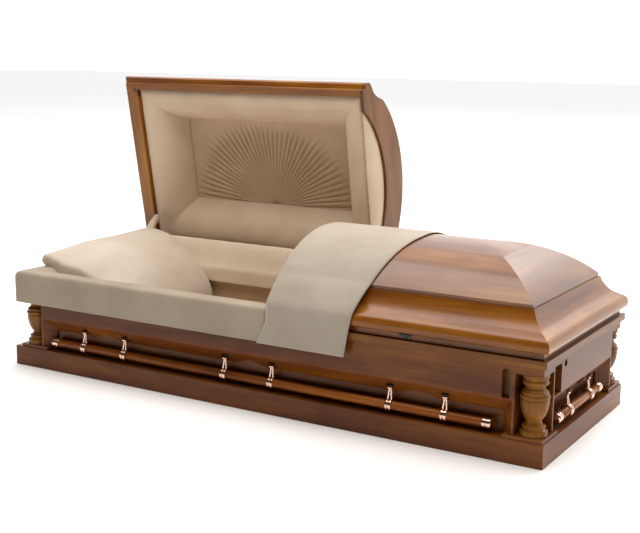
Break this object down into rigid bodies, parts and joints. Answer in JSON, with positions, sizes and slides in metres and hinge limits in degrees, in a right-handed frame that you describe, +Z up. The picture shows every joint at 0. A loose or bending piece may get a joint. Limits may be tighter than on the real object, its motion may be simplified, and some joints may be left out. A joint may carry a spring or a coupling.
{
  "type": "half-couch wooden casket",
  "caption": "Wooden casket on a moulded base, its head lid open over a cloth lining and its foot lid closed, with turned corner urns and swing-bar handles on all sides.",
  "frame": {"origin": "centre of the base's underside, which stands on the floor", "axes": "+X along the casket toward the foot end, -Y toward the front, +Z up"},
  "size_m": [2.1345, 0.9847, 1.0875],
  "materials": {
    "case_wood": "medium brown stained hardwood under a satin lacquer",
    "lid_wood": "medium brown stained hardwood with amber streaks under a satin lacquer",
    "cream_cloth": "cream crepe with a soft sheen, padded",
    "rose_metal": "polished rose-gold plating on a casting",
    "black_metal": "black"
  },
  "bodies": {
    "case": {"base_frame": "case_wood", "bottom_board": "case_wood", "front_side": "case_wood", "back_side": "case_wood", "foot_end": "case_wood", "head_end": "case_wood", "corner_post_front_foot": "case_wood", "corner_post_back_foot": "case_wood", "corner_post_back_head": "case_wood", "corner_post_front_head": "case_wood", "urn_front_foot": "case_wood", "urn_back_foot": "case_wood", "urn_back_head": "case_wood", "urn_front_head": "case_wood", "ledge": "case_wood", "lining": "cream_cloth", "mattress": "cream_cloth", "pillow": "cream_cloth", "rim_cloth": "cream_cloth", "hinge_cover": "cream_cloth"},
    "head_lid": {"head_lid_frame": "lid_wood", "head_lid_crown": "lid_wood", "head_lid_header": "lid_wood", "head_lid_border": "cream_cloth", "head_lid_panel": "cream_cloth"},
    "foot_lid": {"foot_lid_frame": "lid_wood", "foot_lid_crown": "lid_wood", "foot_lid_header": "lid_wood", "foot_lid_lining": "cream_cloth", "throw": "cream_cloth", "latch_plate": "black_metal"},
    "front_handle": {"front_handle_bar": "lid_wood", "front_handle_tip_left": "rose_metal", "front_handle_tip_right": "rose_metal", "front_handle_arm_1": "rose_metal", "front_handle_arm_2": "rose_metal", "front_handle_arm_3": "rose_metal", "front_handle_arm_4": "rose_metal", "front_handle_arm_5": "rose_metal", "front_handle_arm_6": "rose_metal"},
    "back_handle": {"back_handle_bar": "lid_wood", "back_handle_tip_left": "rose_metal", "back_handle_tip_right": "rose_metal", "back_handle_arm_1": "rose_metal", "back_handle_arm_2": "rose_metal", "back_handle_arm_3": "rose_metal", "back_handle_arm_4": "rose_metal", "back_handle_arm_5": "rose_metal", "back_handle_arm_6": "rose_metal"},
    "foot_handle": {"foot_handle_bar": "lid_wood", "foot_handle_tip_left": "rose_metal", "foot_handle_tip_right": "rose_metal", "foot_handle_arm_1": "rose_metal", "foot_handle_arm_2": "rose_metal"},
    "head_handle": {"head_handle_bar": "lid_wood", "head_handle_tip_left": "rose_metal", "head_handle_tip_right": "rose_metal", "head_handle_arm_1": "rose_metal", "head_handle_arm_2": "rose_metal"}
  },
  "joints": [
    {"name": "head_lid_hinge", "type": "hinge", "parent": "case", "child": "head_lid", "pos_m": [0, 0.378, 0.3251], "axis": [-1, 0, 0], "range_deg": [-79.4, 0], "deforming": ["rim_cloth", "hinge_cover", "pillow"]},
    {"name": "foot_lid_hinge", "type": "hinge", "parent": "case", "child": "foot_lid", "pos_m": [0, 0.378, 0.3251], "axis": [-1, 0, 0], "range_deg": [0, 79.4]},
    {"name": "front_handle_swing", "type": "hinge", "parent": "case", "child": "front_handle", "pos_m": [0, -0.356, 0.16], "axis": [-1, 0, 0], "range_deg": [0, 70]},
    {"name": "back_handle_swing", "type": "hinge", "parent": "case", "child": "back_handle", "pos_m": [0, 0.356, 0.16], "axis": [1, 0, 0], "range_deg": [0, 70]},
    {"name": "foot_handle_swing", "type": "hinge", "parent": "case", "child": "foot_handle", "pos_m": [1.036, 0, 0.16], "axis": [0, -1, 0], "range_deg": [0, 70]},
    {"name": "head_handle_swing", "type": "hinge", "parent": "case", "child": "head_handle", "pos_m": [-1.012, 0, 0.16], "axis": [0, 1, 0], "range_deg": [0, 70]}
  ]
}
